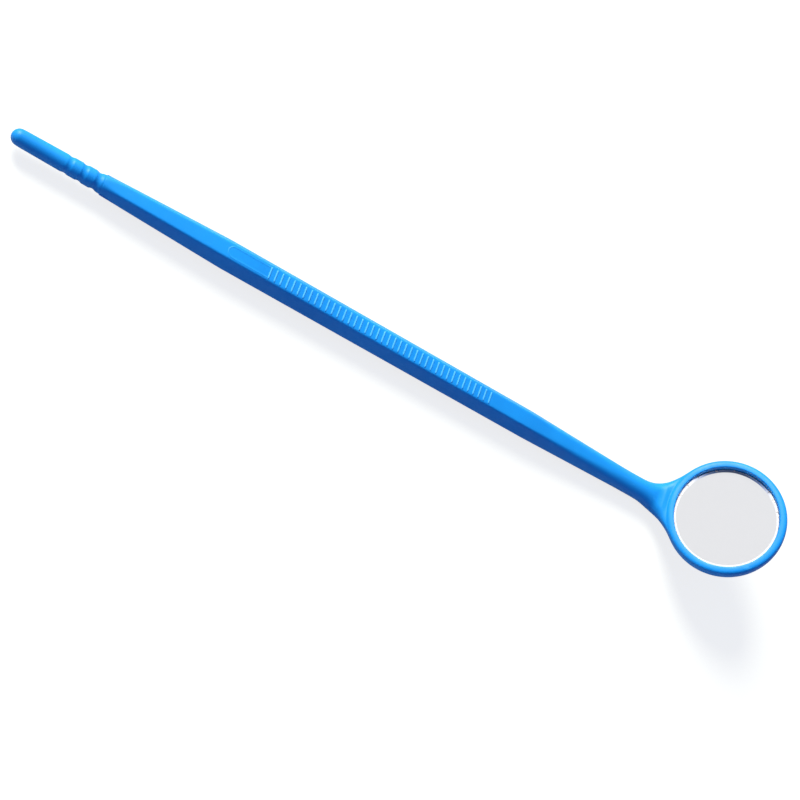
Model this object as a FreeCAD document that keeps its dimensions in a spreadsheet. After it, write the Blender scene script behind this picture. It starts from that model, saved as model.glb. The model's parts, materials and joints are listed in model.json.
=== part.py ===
import FreeCAD, Part
import math
import os

import Sketcher
from FreeCAD import Placement, Rotation, Vector

os.makedirs("parts", exist_ok=True)
doc = FreeCAD.newDocument("mouth_mirror")

# Disposable mouth mirror, in millimetres. The handle and its head are one moulding.
# Sizes along the handle run from the tail tip towards the head, one stretch after another.
# Every piece is drawn with the handle's axis on X and its front face towards +Z, then placed so
# that the origin is under the middle of the whole length, on the flat back of the grip.
sizes = {
    # tail: a round rod with a half-ball end and three ring grooves
    "tail_length": 17.6,
    "tail_tip_diameter": 3.1,
    "tail_root_diameter": 3.5,
    "groove_offset": 10.9,
    "groove_pitch": 2.8,
    "groove_count": 3,
    "groove_depth": 0.22,
    "groove_rounding": 1.2,
    # shank and grip: a hexagon with a flat at front and back and rounded edges
    "shank_length": 25.4,
    "shank_flats": 3.7,
    "grip_length": 69,
    "grip_flats": 5.2,
    "edge_radius": 0.6,
    # cross ribs on the grip's front face
    "rib_offset": 8.3,
    "rib_pitch": 1.25,
    "rib_count": 41,
    "rib_height": 0.12,
    "rib_radius": 0.24,
    "rib_span": 2.6,
    # raised outline of a blank panel, open towards the first rib
    "panel_offset": 0.6,
    "panel_width": 2.3,
    "panel_line": 0.3,
    "panel_height": 0.05,
    # neck: the hexagon turns into a round rod, then bends up into the head
    "neck_taper_length": 24,
    "neck_length": 4.5,
    "neck_diameter": 4.35,
    "bend_radius": 5,
    "flare_radius": 12,
    # head: a round cup that leans back towards the tail
    "head_tilt": 37.6,
    "head_standoff": 2.52,
    "rim_radius": 11.9,
    "rim_rounding": 0.9,
    "back_rounding": 1.6,
    "head_depth": 3.6,
    "cup_radius": 10.35,
    "lip_rounding": 0.25,
    # what lies in the cup, from the front to the floor
    "glass_recess": 0.65,
    "glass_thickness": 1.1,
    "glass_clearance": 0.1,
    "bevel_width": 0.35,
    "bevel_height": 0.2,
    "silver_margin": 0.15,
    "silver_thickness": 0.05,
    "lacquer_thickness": 0.08,
    "adhesive_margin": 0.2,
    "adhesive_thickness": 0.25,
}

sheet = doc.addObject("Spreadsheet::Sheet", "dimensions")
for row, (alias, value) in enumerate(sizes.items(), start=1):
    sheet.set(f"A{row}", alias)
    sheet.set(f"B{row}", str(value))
    sheet.setAlias(f"B{row}", alias)
doc.recompute()

# Places and sizes that follow from the sheet, each bound to it by an expression.
derived = doc.addObject("App::VarSet", "derived")
followers = {
    "tilt": "dimensions.head_tilt * 1 deg",
    "grip_start": "dimensions.tail_length + dimensions.shank_length",
    "grip_half": "dimensions.grip_flats / 2",
    "grip_end": "derived.grip_start + dimensions.grip_length",
    "neck_half": "dimensions.neck_diameter / 2",
    # the back of the neck runs on from the grip's flat back, so its axis lies lower
    "neck_z": "derived.neck_half - derived.grip_half",
    "neck_start": "derived.grip_end + dimensions.neck_taper_length",
    "neck_end": "derived.neck_start + dimensions.neck_length",
    # the flare's side is an arc that touches the neck's side and the rim; it starts this far
    # before the head's middle, measured along the neck's centre line
    "flare_start": "sqrt((dimensions.rim_radius + dimensions.flare_radius)^2"
    " - (derived.neck_half + dimensions.flare_radius)^2)",
    # where that arc touches the rim, measured the same way
    "flare_touch": "dimensions.rim_radius * derived.flare_start"
    " / (dimensions.rim_radius + dimensions.flare_radius)",
    "flare_end_half": "dimensions.head_depth * 0.38",
    "bend_tangent": "dimensions.bend_radius * tan(derived.tilt / 2)",
    "bend_length": "dimensions.bend_radius * dimensions.head_tilt * pi / 180",
    "after_bend": "dimensions.rim_radius + dimensions.head_standoff - derived.bend_tangent",
    "bend_start": "derived.neck_end + derived.flare_start - derived.after_bend - derived.bend_length",
    "head_reach": "dimensions.rim_radius + dimensions.head_standoff",
    # middle of the rim's top, from the corner where the neck's line meets the head's mid-plane
    "head_x": "derived.bend_start + derived.bend_tangent + derived.head_reach * cos(derived.tilt)"
    " - dimensions.head_depth / 2 * sin(derived.tilt)",
    "head_z": "derived.neck_z + derived.head_reach * sin(derived.tilt)"
    " + dimensions.head_depth / 2 * cos(derived.tilt)",
    # the far end is on the back rounding of the head
    "overall_length": "derived.head_x + dimensions.back_rounding"
    " + (dimensions.rim_radius - dimensions.back_rounding) * cos(derived.tilt)"
    " + (dimensions.head_depth - dimensions.back_rounding) * sin(derived.tilt)",
    "glass_radius": "dimensions.cup_radius - dimensions.glass_clearance",
    "silver_radius": "derived.glass_radius - dimensions.silver_margin",
    "adhesive_radius": "derived.glass_radius - dimensions.adhesive_margin",
    "silver_top": "dimensions.glass_recess + dimensions.glass_thickness",
    "lacquer_top": "derived.silver_top + dimensions.silver_thickness",
    "adhesive_top": "derived.lacquer_top + dimensions.lacquer_thickness",
    "cup_depth": "derived.adhesive_top + dimensions.adhesive_thickness",
}
for name in followers:
    kind = "App::PropertyAngle" if name == "tilt" else "App::PropertyFloat"
    derived.addProperty(kind, name, "Followers")
for name, expression in followers.items():
    derived.setExpression(name, expression)
doc.recompute()

added = []  # features that have to add material to their base
removed = []  # features that have to take material away


def number(expression):
    """The value that an expression on the sheet has now, to draw a sketch near its final size."""
    value = sheet.evalExpression(expression)
    return float(getattr(value, "Value", value))


def origin_feature(body, role):
    return next(item for item in body.Origin.OriginFeatures if item.Role == role)


def new_body(label):
    body = doc.addObject("PartDesign::Body", label)
    body.Label = label
    return body


def new_sketch(body, name, plane):
    sketch = body.newObject("Sketcher::SketchObject", name)
    sketch.AttachmentSupport = [(origin_feature(body, plane), "")]
    sketch.MapMode = "FlatFace"
    return sketch


def shift(sketch, x="0", y="0", z="0"):
    """Moves a sketch in its own axes: x and y in its plane, z along its normal."""
    for axis, expression in (("x", x), ("y", y), ("z", z)):
        sketch.setExpression(f"AttachmentOffset.Base.{axis}", expression)


def bind(sketch, constraint, name, expression):
    """Adds a dimension to a sketch, named and bound to the sheet."""
    index = sketch.addConstraint(constraint)
    sketch.renameConstraint(index, name)
    sketch.setExpression(f"Constraints.{name}", expression)


def hold_point(sketch, geometry, end, name, x, y="0"):
    """Holds one point of a sketch at x to the right of its origin and y above it."""
    for kind, axis, expression in (("DistanceX", -2, x), ("DistanceY", -1, y)):
        if expression == "0":
            sketch.addConstraint(Sketcher.Constraint("PointOnObject", geometry, end, axis))
        else:
            constraint = Sketcher.Constraint(kind, -1, 1, geometry, end, number(expression))
            bind(sketch, constraint, f"{name}_{kind}", expression)


def turned_outline(sketch, corners):
    """Closed outline through corners, each (radius from the axis, depth under the origin)."""
    places = [Vector(number(radius), -number(depth), 0) for radius, depth in corners]
    for start, end in zip(places, places[1:] + places[:1]):
        sketch.addGeometry(Part.LineSegment(start, end), False)
    for line, (radius, depth) in enumerate(corners):
        following = (line + 1) % len(corners)
        sketch.addConstraint(Sketcher.Constraint("Coincident", line, 2, following, 1))
        if radius == "0":
            sketch.addConstraint(Sketcher.Constraint("PointOnObject", line, 1, -2))
        else:
            constraint = Sketcher.Constraint("DistanceX", -1, 1, line, 1, number(radius))
            bind(sketch, constraint, f"radius{line}", radius)
        if depth == "0":
            sketch.addConstraint(Sketcher.Constraint("PointOnObject", line, 1, -1))
        else:
            constraint = Sketcher.Constraint("DistanceY", line, 1, -1, 1, number(depth))
            bind(sketch, constraint, f"depth{line}", depth)


def square_corners(radius, top, bottom):
    """Corners of a plain disc's half section."""
    return [("0", top), (radius, top), (radius, bottom), ("0", bottom)]


def rounded_hexagon(body, name, half_height, side, rounding, x, z="0", lean="0"):
    """Section across the handle: flats at top and bottom, half_height from its middle, four
    slanted sides at the distance side, and all six corners rounded. Its middle is at x along
    the handle and z above the grip's axis, and it leans by an angle towards the head."""
    sketch = new_sketch(body, name, "YZ_Plane")
    sketch.AttachmentOffset = Placement(Vector(), Rotation(Vector(1, 0, 0), -1))
    shift(sketch, y=z, z=x)
    sketch.setExpression("AttachmentOffset.Rotation.Angle", f"-({lean})")
    flats = range(6)
    turns = [math.radians(30 + 60 * k) for k in flats]
    normals = [Vector(math.cos(turn), math.sin(turn), 0) for turn in turns]
    expressions = [half_height if k in (1, 4) else side for k in flats]
    reaches = [number(expression) for expression in expressions]
    radius = number(rounding)
    centres = []
    for k in flats:
        here, after = normals[k], normals[(k + 1) % 6]
        a, b = reaches[k] - radius, reaches[(k + 1) % 6] - radius
        across = here.x * after.y - here.y * after.x
        x_centre = (a * after.y - b * here.y) / across
        y_centre = (b * here.x - a * after.x) / across
        centres.append(Vector(x_centre, y_centre, 0))
    for k in flats:
        start = centres[k - 1] + normals[k] * radius
        end = centres[k] + normals[k] * radius
        sketch.addGeometry(Part.LineSegment(start, end), False)
        circle = Part.Circle(centres[k], Vector(0, 0, 1), radius)
        sketch.addGeometry(Part.ArcOfCircle(circle, turns[k], turns[k] + math.radians(60)), False)
    for k in flats:
        line, arc, following = 2 * k, 2 * k + 1, (2 * k + 2) % 12
        sketch.addConstraint(Sketcher.Constraint("Tangent", line, 2, arc, 1))
        sketch.addConstraint(Sketcher.Constraint("Tangent", arc, 2, following, 1))
        along = math.atan2(normals[k].x, -normals[k].y)
        sketch.addConstraint(Sketcher.Constraint("Angle", line, along))
        distance = Sketcher.Constraint("Distance", -1, 1, line, reaches[k])
        bind(sketch, distance, f"reach{k}", expressions[k])
        if k:
            sketch.addConstraint(Sketcher.Constraint("Equal", 1, arc))
    bind(sketch, Sketcher.Constraint("Radius", 1, radius), "rounding", rounding)
    return sketch


def loft(body, name, sections, ruled):
    feature = body.newObject("PartDesign::AdditiveLoft", name)
    feature.Profile = sections[0]
    feature.Sections = sections[1:]
    feature.Ruled = ruled
    added.append(feature)
    return feature


def pad(body, name, sketch, length, midplane=False):
    feature = body.newObject("PartDesign::Pad", name)
    feature.Profile = sketch
    feature.setExpression("Length", length)
    feature.Midplane = midplane
    added.append(feature)
    return feature


def turn(body, name, sketch, axis, kind="PartDesign::Revolution"):
    feature = body.newObject(kind, name)
    feature.Profile = sketch
    feature.ReferenceAxis = (sketch, [axis])
    feature.Angle = 360
    (added if kind == "PartDesign::Revolution" else removed).append(feature)
    return feature


def row_along_x(body, name, original, length, count):
    """Repeats a feature along the handle."""
    pattern = body.newObject("PartDesign::LinearPattern", name)
    pattern.Originals = [original]
    pattern.Direction = (origin_feature(body, "X_Axis"), [""])
    pattern.setExpression("Length", length)
    pattern.setExpression("Occurrences", count)
    body.Tip = pattern
    return pattern


def add_tail(body):
    """Round rod with a half-ball end, then ring grooves that leave short beads between them."""
    profile = new_sketch(body, "tail_profile", "XZ_Plane")
    tip = number("dimensions.tail_tip_diameter / 2")
    root = number("dimensions.tail_root_diameter / 2")
    length = number("dimensions.tail_length")
    ball = Part.Circle(Vector(tip, 0, 0), Vector(0, 0, 1), tip)
    profile.addGeometry(Part.ArcOfCircle(ball, math.pi / 2, math.pi), False)
    profile.addGeometry(Part.LineSegment(Vector(tip, tip, 0), Vector(length, root, 0)), False)
    profile.addGeometry(Part.LineSegment(Vector(length, root, 0), Vector(length, 0, 0)), False)
    profile.addGeometry(Part.LineSegment(Vector(length, 0, 0), Vector(0, 0, 0)), False)
    profile.addConstraint(Sketcher.Constraint("Coincident", 0, 1, 1, 1))
    profile.addConstraint(Sketcher.Constraint("Coincident", 1, 2, 2, 1))
    profile.addConstraint(Sketcher.Constraint("Coincident", 2, 2, 3, 1))
    profile.addConstraint(Sketcher.Constraint("Coincident", 3, 2, 0, 2))
    profile.addConstraint(Sketcher.Constraint("Coincident", 3, 2, -1, 1))
    profile.addConstraint(Sketcher.Constraint("PointOnObject", 0, 3, -1))
    profile.addConstraint(Sketcher.Constraint("PointOnObject", 2, 2, -1))
    profile.addConstraint(Sketcher.Constraint("Vertical", 2))
    profile.addConstraint(Sketcher.Constraint("Vertical", 0, 1, 0, 3))
    reach = Sketcher.Constraint("DistanceX", 3, 2, 3, 1, length)
    height = Sketcher.Constraint("DistanceY", 2, 2, 2, 1, root)
    bind(profile, Sketcher.Constraint("Radius", 0, tip), "tip", "dimensions.tail_tip_diameter / 2")
    bind(profile, reach, "length", "dimensions.tail_length")
    bind(profile, height, "root", "dimensions.tail_root_diameter / 2")
    turn(body, "tail", profile, "H_Axis")

    ring = new_sketch(body, "groove_profile", "XZ_Plane")
    reach = (
        "dimensions.tail_root_diameter / 2 - dimensions.groove_depth"
        " + dimensions.groove_rounding"
    )
    middle = Vector(number("dimensions.groove_offset"), number(reach), 0)
    rounding = number("dimensions.groove_rounding")
    ring.addGeometry(Part.Circle(middle, Vector(0, 0, 1), rounding), False)
    bind(ring, Sketcher.Constraint("Radius", 0, rounding), "rounding", "dimensions.groove_rounding")
    hold_point(ring, 0, 3, "middle", "dimensions.groove_offset", reach)
    groove = turn(body, "ring_groove", ring, "H_Axis", "PartDesign::Groove")
    length = "dimensions.groove_pitch * (dimensions.groove_count - 1)"
    removed.append(row_along_x(body, "ring_grooves", groove, length, "dimensions.groove_count"))


def add_grip(body):
    """Hexagonal shank that grows into the even grip."""
    tail_end = rounded_hexagon(
        body, "shank_section", "dimensions.shank_flats / 2", "dimensions.shank_flats / 2",
        "dimensions.edge_radius", "dimensions.tail_length",
    )
    grip = rounded_hexagon(
        body, "grip_section", "derived.grip_half", "derived.grip_half",
        "dimensions.edge_radius", "derived.grip_start",
    )
    loft(body, "shank", [tail_end, grip], True)
    start = rounded_hexagon(
        body, "grip_start_section", "derived.grip_half", "derived.grip_half",
        "dimensions.edge_radius", "derived.grip_start",
    )
    pad(body, "grip", start, "dimensions.grip_length")


def add_ribs(body):
    """Half-round cross ribs, sunk into the grip's front face so that only rib_height stands out."""
    profile = new_sketch(body, "rib_profile", "XZ_Plane")
    along = "derived.grip_start + dimensions.rib_offset"
    height = "derived.grip_half + dimensions.rib_height - dimensions.rib_radius"
    middle = Vector(number(along), number(height), 0)
    radius = number("dimensions.rib_radius")
    profile.addGeometry(Part.Circle(middle, Vector(0, 0, 1), radius), False)
    bind(profile, Sketcher.Constraint("Radius", 0, radius), "radius", "dimensions.rib_radius")
    hold_point(profile, 0, 3, "middle", along, height)
    rib = pad(body, "rib", profile, "dimensions.rib_span", midplane=True)
    length = "dimensions.rib_pitch * (dimensions.rib_count - 1)"
    added.append(row_along_x(body, "ribs", rib, length, "dimensions.rib_count"))


def add_panel_outline(body):
    """Raised line round a blank panel: a half ring at the tail side and two straight legs."""
    sketch = new_sketch(body, "panel_profile", "XY_Plane")
    root = "derived.grip_half / 2"
    shift(sketch, z=root)
    outer, inner = "dimensions.panel_width / 2", "(dimensions.panel_width / 2 - dimensions.panel_line)"
    centre = f"derived.grip_start + {outer} - dimensions.panel_offset"
    leg_end = "derived.grip_start + dimensions.rib_offset"
    big, small = number(outer), number(inner)
    middle, end = Vector(number(centre), 0, 0), number(leg_end)
    for radius in (big, small):
        circle = Part.Circle(middle, Vector(0, 0, 1), radius)
        sketch.addGeometry(Part.ArcOfCircle(circle, math.pi / 2, 3 * math.pi / 2), False)
    for side in (1, -1):
        low, high = Vector(middle.x, side * small, 0), Vector(middle.x, side * big, 0)
        far_low, far_high = Vector(end, side * small, 0), Vector(end, side * big, 0)
        outer_leg = sketch.addGeometry(Part.LineSegment(high, far_high), False)
        cap = sketch.addGeometry(Part.LineSegment(far_high, far_low), False)
        inner_leg = sketch.addGeometry(Part.LineSegment(far_low, low), False)
        arc_end = 1 if side > 0 else 2
        sketch.addConstraint(Sketcher.Constraint("Tangent", outer_leg, 1, 0, arc_end))
        sketch.addConstraint(Sketcher.Constraint("Coincident", outer_leg, 2, cap, 1))
        sketch.addConstraint(Sketcher.Constraint("Coincident", cap, 2, inner_leg, 1))
        sketch.addConstraint(Sketcher.Constraint("Tangent", inner_leg, 2, 1, arc_end))
        sketch.addConstraint(Sketcher.Constraint("Horizontal", outer_leg))
        sketch.addConstraint(Sketcher.Constraint("Horizontal", inner_leg))
        sketch.addConstraint(Sketcher.Constraint("Vertical", cap))
        constraint = Sketcher.Constraint("DistanceX", -1, 1, cap, 1, end)
        bind(sketch, constraint, f"leg{cap}", leg_end)
    sketch.addConstraint(Sketcher.Constraint("Coincident", 0, 3, 1, 3))
    hold_point(sketch, 0, 3, "middle", centre)
    bind(sketch, Sketcher.Constraint("Radius", 0, big), "outer", outer)
    bind(sketch, Sketcher.Constraint("Radius", 1, small), "inner", inner)
    pad(body, "panel_outline", sketch, f"derived.grip_half - {root} + dimensions.panel_height")


def add_neck(body):
    """The hexagon's edges grow rounder until the neck is a round rod, which widens into the
    head's rim along an arc on each side while it bends up to the head's tilt."""
    roundness = 0.93  # corner rounding of the round sections, as a share of their half height
    neck = ("derived.neck_half", "derived.neck_half", f"derived.neck_half * {roundness}")
    grip_end = rounded_hexagon(
        body, "grip_end_section", "derived.grip_half", "derived.grip_half",
        "dimensions.edge_radius", "derived.grip_end",
    )
    place = ("derived.neck_start", "derived.neck_z")
    loft(body, "neck_taper", [grip_end, rounded_hexagon(body, "neck_section", *neck, *place)], True)
    pad(body, "neck", rounded_hexagon(body, "rod_section", *neck, *place), "dimensions.neck_length")

    # each step: its distance before the head's middle along the centre line, and how far its
    # half height has gone from the neck's to the one inside the rim
    bend_end = "derived.after_bend"
    steps = [
        ("derived.flare_start", 0),
        (f"({bend_end} + derived.bend_length)", 0.08),
        (f"({bend_end} + derived.bend_length / 2)", 0.35),
        (bend_end, 0.46),
        ("(dimensions.rim_radius - dimensions.rim_rounding / 2)", 0.74),
        ("derived.flare_touch", 1),
    ]
    sections = []
    for step, (before, share) in enumerate(steps):
        half_height = f"(derived.neck_half + (derived.flare_end_half - derived.neck_half) * {share})"
        width = (
            "(derived.neck_half + dimensions.flare_radius"
            f" - sqrt(dimensions.flare_radius^2 - (derived.flare_start - {before})^2))"
        )
        side = f"(({width} - {half_height}) * cos(30 deg) + {half_height})"
        if step < 2:  # still straight, along the neck's axis
            lean = "0"
            x = f"derived.neck_end + derived.flare_start - {before}"
            z = "derived.neck_z"
        elif step == 2:  # half way round the bend
            lean = "derived.tilt / 2"
            x = f"derived.bend_start + dimensions.bend_radius * sin({lean})"
            z = f"derived.neck_z + dimensions.bend_radius * (1 - cos({lean}))"
        else:  # along the head's mid-plane
            lean = "derived.tilt"
            past = f"({bend_end} - {before})"
            x = f"derived.bend_start + dimensions.bend_radius * sin({lean}) + {past} * cos({lean})"
            z = f"derived.neck_z + dimensions.bend_radius * (1 - cos({lean})) + {past} * sin({lean})"
        rounding = f"{half_height} * {roundness}"
        shape = (half_height, side, rounding)
        sections.append(rounded_hexagon(body, f"flare_section_{step}", *shape, x, z, lean))
    loft(body, "flare", sections, False)


def tilted_sketch(body, name):
    """Sketch through the head's middle: its x runs along the head away from the tail and its y
    is the distance above the rim."""
    sketch = new_sketch(body, name, "XZ_Plane")
    sketch.AttachmentOffset = Placement(Vector(), Rotation(Vector(0, 0, 1), 1))
    shift(sketch, x="derived.head_x", y="derived.head_z")
    sketch.setExpression("AttachmentOffset.Rotation.Angle", "derived.tilt")
    return sketch


def add_head(body):
    """Round cup: a turned disc with a rounded rim and back, then the seat for the mirror."""
    disc = tilted_sketch(body, "head_profile")
    rim, depth = number("dimensions.rim_radius"), number("dimensions.head_depth")
    top, back = number("dimensions.rim_rounding"), number("dimensions.back_rounding")
    upper = Part.Circle(Vector(rim - top, -top, 0), Vector(0, 0, 1), top)
    lower = Part.Circle(Vector(rim - back, back - depth, 0), Vector(0, 0, 1), back)
    disc.addGeometry(Part.LineSegment(Vector(0, 0, 0), Vector(rim - top, 0, 0)), False)
    disc.addGeometry(Part.ArcOfCircle(upper, 0, math.pi / 2), False)
    disc.addGeometry(Part.LineSegment(Vector(rim, -top, 0), Vector(rim, back - depth, 0)), False)
    disc.addGeometry(Part.ArcOfCircle(lower, 3 * math.pi / 2, 2 * math.pi), False)
    disc.addGeometry(Part.LineSegment(Vector(rim - back, -depth, 0), Vector(0, -depth, 0)), False)
    disc.addGeometry(Part.LineSegment(Vector(0, -depth, 0), Vector(0, 0, 0)), False)
    for line, line_end, arc, arc_end in ((0, 2, 1, 2), (2, 1, 1, 1), (2, 2, 3, 2), (4, 1, 3, 1)):
        disc.addConstraint(Sketcher.Constraint("Tangent", line, line_end, arc, arc_end))
    disc.addConstraint(Sketcher.Constraint("Coincident", 4, 2, 5, 1))
    disc.addConstraint(Sketcher.Constraint("Coincident", 5, 2, 0, 1))
    disc.addConstraint(Sketcher.Constraint("Coincident", 0, 1, -1, 1))
    for kind, line in (("Horizontal", 0), ("Vertical", 2), ("Horizontal", 4), ("Vertical", 5)):
        disc.addConstraint(Sketcher.Constraint(kind, line))
    bind(disc, Sketcher.Constraint("Radius", 1, top), "rim_rounding", "dimensions.rim_rounding")
    bind(disc, Sketcher.Constraint("Radius", 3, back), "back_rounding", "dimensions.back_rounding")
    bind(disc, Sketcher.Constraint("DistanceX", -1, 1, 2, 1, rim), "radius", "dimensions.rim_radius")
    bind(disc, Sketcher.Constraint("DistanceY", 4, 2, -1, 1, depth), "depth", "dimensions.head_depth")
    turn(body, "head", disc, "V_Axis")

    seat = tilted_sketch(body, "cup_profile")
    cup, floor = number("dimensions.cup_radius"), number("derived.cup_depth")
    lip = number("dimensions.lip_rounding")
    lip_circle = Part.Circle(Vector(cup + lip, -lip, 0), Vector(0, 0, 1), lip)
    seat.addGeometry(Part.LineSegment(Vector(0, -floor, 0), Vector(cup, -floor, 0)), False)
    seat.addGeometry(Part.LineSegment(Vector(cup, -floor, 0), Vector(cup, -lip, 0)), False)
    seat.addGeometry(Part.ArcOfCircle(lip_circle, math.pi / 2, math.pi), False)
    seat.addGeometry(Part.LineSegment(Vector(cup + lip, 0, 0), Vector(0, 0, 0)), False)
    seat.addGeometry(Part.LineSegment(Vector(0, 0, 0), Vector(0, -floor, 0)), False)
    seat.addConstraint(Sketcher.Constraint("Coincident", 0, 2, 1, 1))
    seat.addConstraint(Sketcher.Constraint("Tangent", 1, 2, 2, 2))
    seat.addConstraint(Sketcher.Constraint("Tangent", 2, 1, 3, 1))
    seat.addConstraint(Sketcher.Constraint("Coincident", 3, 2, 4, 1))
    seat.addConstraint(Sketcher.Constraint("Coincident", 4, 2, 0, 1))
    seat.addConstraint(Sketcher.Constraint("Coincident", 4, 1, -1, 1))
    for kind, line in (("Horizontal", 0), ("Vertical", 1), ("Horizontal", 3), ("Vertical", 4)):
        seat.addConstraint(Sketcher.Constraint(kind, line))
    bind(seat, Sketcher.Constraint("Radius", 2, lip), "lip_rounding", "dimensions.lip_rounding")
    bind(seat, Sketcher.Constraint("DistanceX", -1, 1, 0, 2, cup), "radius", "dimensions.cup_radius")
    bind(seat, Sketcher.Constraint("DistanceY", 4, 2, -1, 1, floor), "depth", "derived.cup_depth")
    turn(body, "cup", seat, "V_Axis", "PartDesign::Groove")


def make_handle():
    body = new_body("handle")
    add_tail(body)
    add_grip(body)
    add_neck(body)
    add_ribs(body)
    add_panel_outline(body)
    add_head(body)
    body.setExpression("Placement.Base.x", "-derived.overall_length / 2")
    body.setExpression("Placement.Base.z", "derived.grip_half")
    return body


def make_disc(label, outline):
    """Round piece of the mirror stack, turned about its own Z from an outline of (radius, depth
    under the rim) corners, then set into the cup at the head's tilt."""
    body = new_body(label)
    profile = new_sketch(body, f"{label}_profile", "XZ_Plane")
    turned_outline(profile, outline)
    turn(body, f"{label}_disc", profile, "V_Axis")
    body.Placement = Placement(Vector(), Rotation(Vector(0, 1, 0), -1))
    body.setExpression("Placement.Base.x", "derived.head_x - derived.overall_length / 2")
    body.setExpression("Placement.Base.z", "derived.head_z + derived.grip_half")
    body.setExpression("Placement.Rotation.Angle", "-derived.tilt")
    return body


def flat_disc(label, radius, top, thickness):
    """Plain disc of the stack; its radius and top follow from the sheet, its thickness is there."""
    bottom = f"derived.{top} + dimensions.{thickness}"
    return make_disc(label, square_corners(f"derived.{radius}", f"derived.{top}", bottom))


def make_mirror_glass():
    """Glass disc with a ground bevel round its front edge."""
    top = "dimensions.glass_recess"
    bottom = "derived.silver_top"
    outline = [
        ("0", top),
        ("derived.glass_radius - dimensions.bevel_width", top),
        ("derived.glass_radius", f"{top} + dimensions.bevel_height"),
        ("derived.glass_radius", bottom),
        ("0", bottom),
    ]
    return make_disc("mirror_glass", outline)


bodies = [
    make_handle(),
    make_mirror_glass(),
    flat_disc("silver_coating", "silver_radius", "silver_top", "silver_thickness"),
    flat_disc("backing_lacquer", "silver_radius", "lacquer_top", "lacquer_thickness"),
    flat_disc("adhesive_disc", "adhesive_radius", "adhesive_top", "adhesive_thickness"),
]
doc.recompute()

failed = [item.Label for item in doc.Objects if {"Invalid", "Error"} & set(item.State)]
if failed:
    raise RuntimeError(f"these objects failed: {failed}")
for feature in added + removed:
    base = feature.BaseFeature
    change = feature.Shape.Volume - (base.Shape.Volume if base else 0)
    if (change <= 0) == (feature in added):
        raise RuntimeError(f"{feature.Label} changed the volume by {change:.4f} mm3")
for body in bodies:
    if body.Shape.isNull() or not body.Shape.isValid() or len(body.Shape.Solids) != 1:
        raise RuntimeError(f"{body.Label} is not one valid solid")
for body in bodies:
    body.Shape.exportStep(os.path.join("parts", body.Label + ".step"))
    print(f"{body.Label}: {body.Shape.Volume:.2f} mm3")
print(f"overall length: {derived.overall_length:.2f} mm")
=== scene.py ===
import bpy
import bmesh
import json
import math
from mathutils import Matrix, Vector

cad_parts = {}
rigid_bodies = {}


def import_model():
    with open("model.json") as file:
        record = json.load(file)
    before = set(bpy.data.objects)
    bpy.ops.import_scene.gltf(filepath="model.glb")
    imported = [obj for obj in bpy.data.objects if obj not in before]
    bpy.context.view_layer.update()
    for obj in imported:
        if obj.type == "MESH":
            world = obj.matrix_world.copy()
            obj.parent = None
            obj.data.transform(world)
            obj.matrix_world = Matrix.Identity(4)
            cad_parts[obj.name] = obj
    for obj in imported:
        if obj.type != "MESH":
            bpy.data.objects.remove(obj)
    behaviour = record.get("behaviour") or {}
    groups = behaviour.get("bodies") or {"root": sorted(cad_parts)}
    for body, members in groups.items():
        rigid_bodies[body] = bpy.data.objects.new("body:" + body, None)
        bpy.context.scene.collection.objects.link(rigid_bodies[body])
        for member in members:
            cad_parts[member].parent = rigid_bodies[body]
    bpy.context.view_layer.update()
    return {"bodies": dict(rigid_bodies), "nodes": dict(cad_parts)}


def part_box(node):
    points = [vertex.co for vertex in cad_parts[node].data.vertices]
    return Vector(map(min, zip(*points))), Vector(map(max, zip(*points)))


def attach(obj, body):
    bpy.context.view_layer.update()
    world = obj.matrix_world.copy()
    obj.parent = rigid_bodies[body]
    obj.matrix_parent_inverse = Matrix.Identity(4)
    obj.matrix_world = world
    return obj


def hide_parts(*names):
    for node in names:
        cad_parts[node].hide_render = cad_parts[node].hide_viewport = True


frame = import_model()
body = list(frame["bodies"])[0]
mm = 0.001
print("frame loaded, body", body)


def mix(a, b, share):
    return a + (b - a) * share


def ease(share):
    share = min(max(share, 0), 1)
    return share * share * (3 - 2 * share)


# a painter's 0-255 colour as the light values that a shader takes
def colour(red, green, blue):
    def light(value):
        value = value / 255
        return value / 12.92 if value <= 0.04045 else ((value + 0.055) / 1.055) ** 2.4
    return light(red), light(green), light(blue), 1


# sizes in millimetres; places along the handle start at the tail's tip
handle = {
    "tailLength": 17.6,
    "tipRadius": 1.55,
    "rootRadius": 1.75,
    "grooveFirst": 10.9,
    "groovePitch": 2.8,
    "grooveCount": 3,
    "grooveDepth": 0.22,
    "grooveRounding": 1.2,
    "shankLength": 25.4,
    "shankFlats": 3.7,
    "gripLength": 69,
    "gripFlats": 5.2,
    "edgeRadius": 0.6,
    "neckTaper": 24,
    "neckRadius": 2.175,
    "neckLength": 4.5,
    "bendRadius": 5,
    "flareRadius": 12,
    "flareEndHalf": 1.368,
    "flareEnd": 9.5,  # before the head's middle, where the flattening would be complete
    "flareLoops": (18.2, 17.3, 16.5, 15.9, 15.2, 14.36, 13.5, 12.95),
    "flareRoundness": 0.93,
}
head = {
    "tilt": math.radians(37.6),
    "rimRadius": 11.9,
    "standoff": 2.52,
    "depth": 3.6,
    "rimRounding": 0.9,
    "backRounding": 1.6,
    "cupRadius": 10.35,
    "cupDepth": 2.13,
    "lipRounding": 0.25,
    "glassRecess": 0.65,
    "columns": 45,
    "openColumns": 9,
}

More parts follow.
